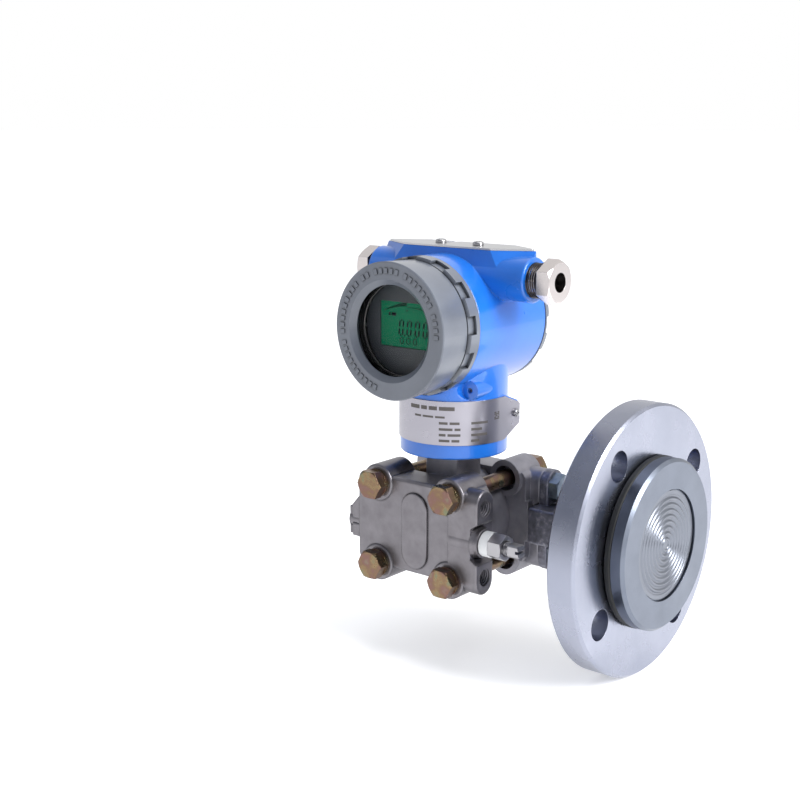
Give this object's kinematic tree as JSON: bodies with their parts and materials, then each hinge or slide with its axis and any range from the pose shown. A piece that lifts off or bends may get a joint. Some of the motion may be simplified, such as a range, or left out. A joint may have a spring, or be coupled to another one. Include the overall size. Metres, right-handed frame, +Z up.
{
  "type": "differential pressure transmitter",
  "caption": "Differential pressure transmitter: turnable display housing on a cell bolted between process flanges, with a flange-mounted diaphragm seal on the high side.",
  "frame": {"origin": "centre of the bolt circle on the front face of the mounting flange", "axes": "+X along the flange's axis, out of the seal face; +Y away from the display, along the long process bolts; +Z up, along the neck"},
  "size_m": [0.1968, 0.1735, 0.2478],
  "materials": {
    "blue_paint": "gloss blue enamel on die-cast aluminium",
    "grey_paint": "satin grey enamel on die-cast aluminium",
    "cast_steel": "bead-blasted stainless casting",
    "turned_steel": "turned stainless steel",
    "yellow_zinc": "yellow passivated zinc on steel",
    "blue_zinc": "bluish bright zinc on steel",
    "bright_metal": "bright nickel plate on brass",
    "thin_steel": "brushed stainless sheet and screws",
    "dark_casting": "rough dark grey casting",
    "black_rubber": "black nitrile rubber",
    "white_ptfe": "white PTFE",
    "clear_glass": "clear toughened glass",
    "black_anodised": "black anodised aluminium",
    "dark_plastic": "dark grey moulded plastic",
    "lcd": "green backlit liquid crystal panel",
    "green_board": "green fibreglass circuit board",
    "red_plastic": "red moulded plastic"
  },
  "bodies": {
    "process_unit": {"low_side_flange": "cast_steel", "high_side_flange": "cast_steel", "sensor_cell": "turned_steel", "sensor_can": "turned_steel", "amplifier_board": "green_board", "isolating_diaphragms": "turned_steel", "process_o_rings": "black_rubber", "flange_bolts": "yellow_zinc", "flange_washers": "yellow_zinc", "flange_nuts": "yellow_zinc", "side_plugs": "turned_steel", "vent_body": "turned_steel", "thread_tape": "white_ptfe", "flange_adapter": "dark_casting", "adapter_gasket": "white_ptfe", "adapter_bolts": "blue_zinc", "seal_neck": "turned_steel", "seal_body": "turned_steel", "seal_diaphragm": "turned_steel", "spacer_ring": "black_rubber"},
    "mounting_flange": {"mounting_flange": "turned_steel"},
    "vent_stem": {"vent_stem": "turned_steel"},
    "housing": {"housing": "blue_paint", "neck_set_screw": "thin_steel", "nameplate_band": "thin_steel", "band_screws": "thin_steel", "electronics_module": "dark_plastic", "module_screws": "thin_steel", "display_board": "green_board", "display_bezel": "dark_plastic", "lcd_panel": "lcd", "terminal_block": "dark_plastic", "terminal_screws": "thin_steel", "tag_plate_screws": "thin_steel", "zero_spring": "thin_steel", "span_spring": "thin_steel", "gland_rubber": "black_rubber", "conduit_plug": "bright_metal"},
    "tag_plate": {"tag_plate": "thin_steel"},
    "zero_button": {"zero_button": "red_plastic"},
    "span_button": {"span_button": "red_plastic"},
    "front_cover_ring": {"front_cover_o_ring": "black_rubber"},
    "front_cover": {"front_cover": "grey_paint", "window_glass": "clear_glass", "glass_gasket": "black_rubber", "glass_retainer": "black_anodised"},
    "rear_cover_ring": {"rear_cover_o_ring": "black_rubber"},
    "rear_cover": {"rear_cover": "grey_paint"},
    "gland_washer": {"gland_washer": "bright_metal"},
    "gland_nut": {"gland_nut": "bright_metal", "gland_seal": "black_rubber"}
  },
  "joints": [
    {"name": "flange_turn", "type": "hinge", "parent": "process_unit", "child": "mounting_flange", "pos_m": [0, 0, 0], "axis": [1, 0, 0], "continuous": true},
    {"name": "vent_stem_turn", "type": "hinge", "parent": "process_unit", "child": "vent_stem", "pos_m": [-0.0571, -0.0634, 0], "axis": [1, 0, 0], "range_deg": [0, 360]},
    {"name": "housing_turn", "type": "hinge", "parent": "process_unit", "child": "housing", "pos_m": [-0.1171, -0.0317, 0.06], "axis": [0, 0, 1], "range_deg": [-180, 180]},
    {"name": "tag_plate_swing", "type": "hinge", "parent": "housing", "child": "tag_plate", "pos_m": [-0.1034, -0.0277, 0.1658], "axis": [0, 0, 1], "range_deg": [0, 90]},
    {"name": "zero_press", "type": "slide", "parent": "housing", "child": "zero_button", "axis": [0, 0, -1], "range_m": [0, 0.0015], "stiffness_N_per_m": 400, "springref_m": -0.0015, "deforming": ["zero_spring"]},
    {"name": "span_press", "type": "slide", "parent": "housing", "child": "span_button", "axis": [0, 0, -1], "range_m": [0, 0.0015], "stiffness_N_per_m": 400, "springref_m": -0.0015, "deforming": ["span_spring"]},
    {"name": "front_cover_travel", "type": "slide", "parent": "housing", "child": "front_cover_ring", "axis": [0, -1, 0], "range_m": [0, 0.0101]},
    {"name": "front_cover_turn", "type": "hinge", "parent": "front_cover_ring", "child": "front_cover", "pos_m": [-0.1171, -0.0717, 0.1212], "axis": [0, -1, 0], "range_deg": [0, 1800]},
    {"name": "rear_cover_travel", "type": "slide", "parent": "housing", "child": "rear_cover_ring", "axis": [0, 1, 0], "range_m": [0, 0.0081]},
    {"name": "rear_cover_turn", "type": "hinge", "parent": "rear_cover_ring", "child": "rear_cover", "pos_m": [-0.1171, 0.0133, 0.1212], "axis": [0, 1, 0], "range_deg": [0, 1440]},
    {"name": "gland_travel", "type": "slide", "parent": "housing", "child": "gland_washer", "axis": [1, 0, 0], "range_m": [0, 0.0091]},
    {"name": "gland_turn", "type": "hinge", "parent": "gland_washer", "child": "gland_nut", "pos_m": [-0.0571, -0.0317, 0.1486], "axis": [1, 0, 0], "range_deg": [0, 2160]}
  ],
  "couplings": [
    {"joint": "front_cover_travel", "follows": "front_cover_turn", "m_per_rad": 0.00031831},
    {"joint": "rear_cover_travel", "follows": "rear_cover_turn", "m_per_rad": 0.00031831},
    {"joint": "gland_travel", "follows": "gland_turn", "m_per_rad": 0.00023873}
  ]
}
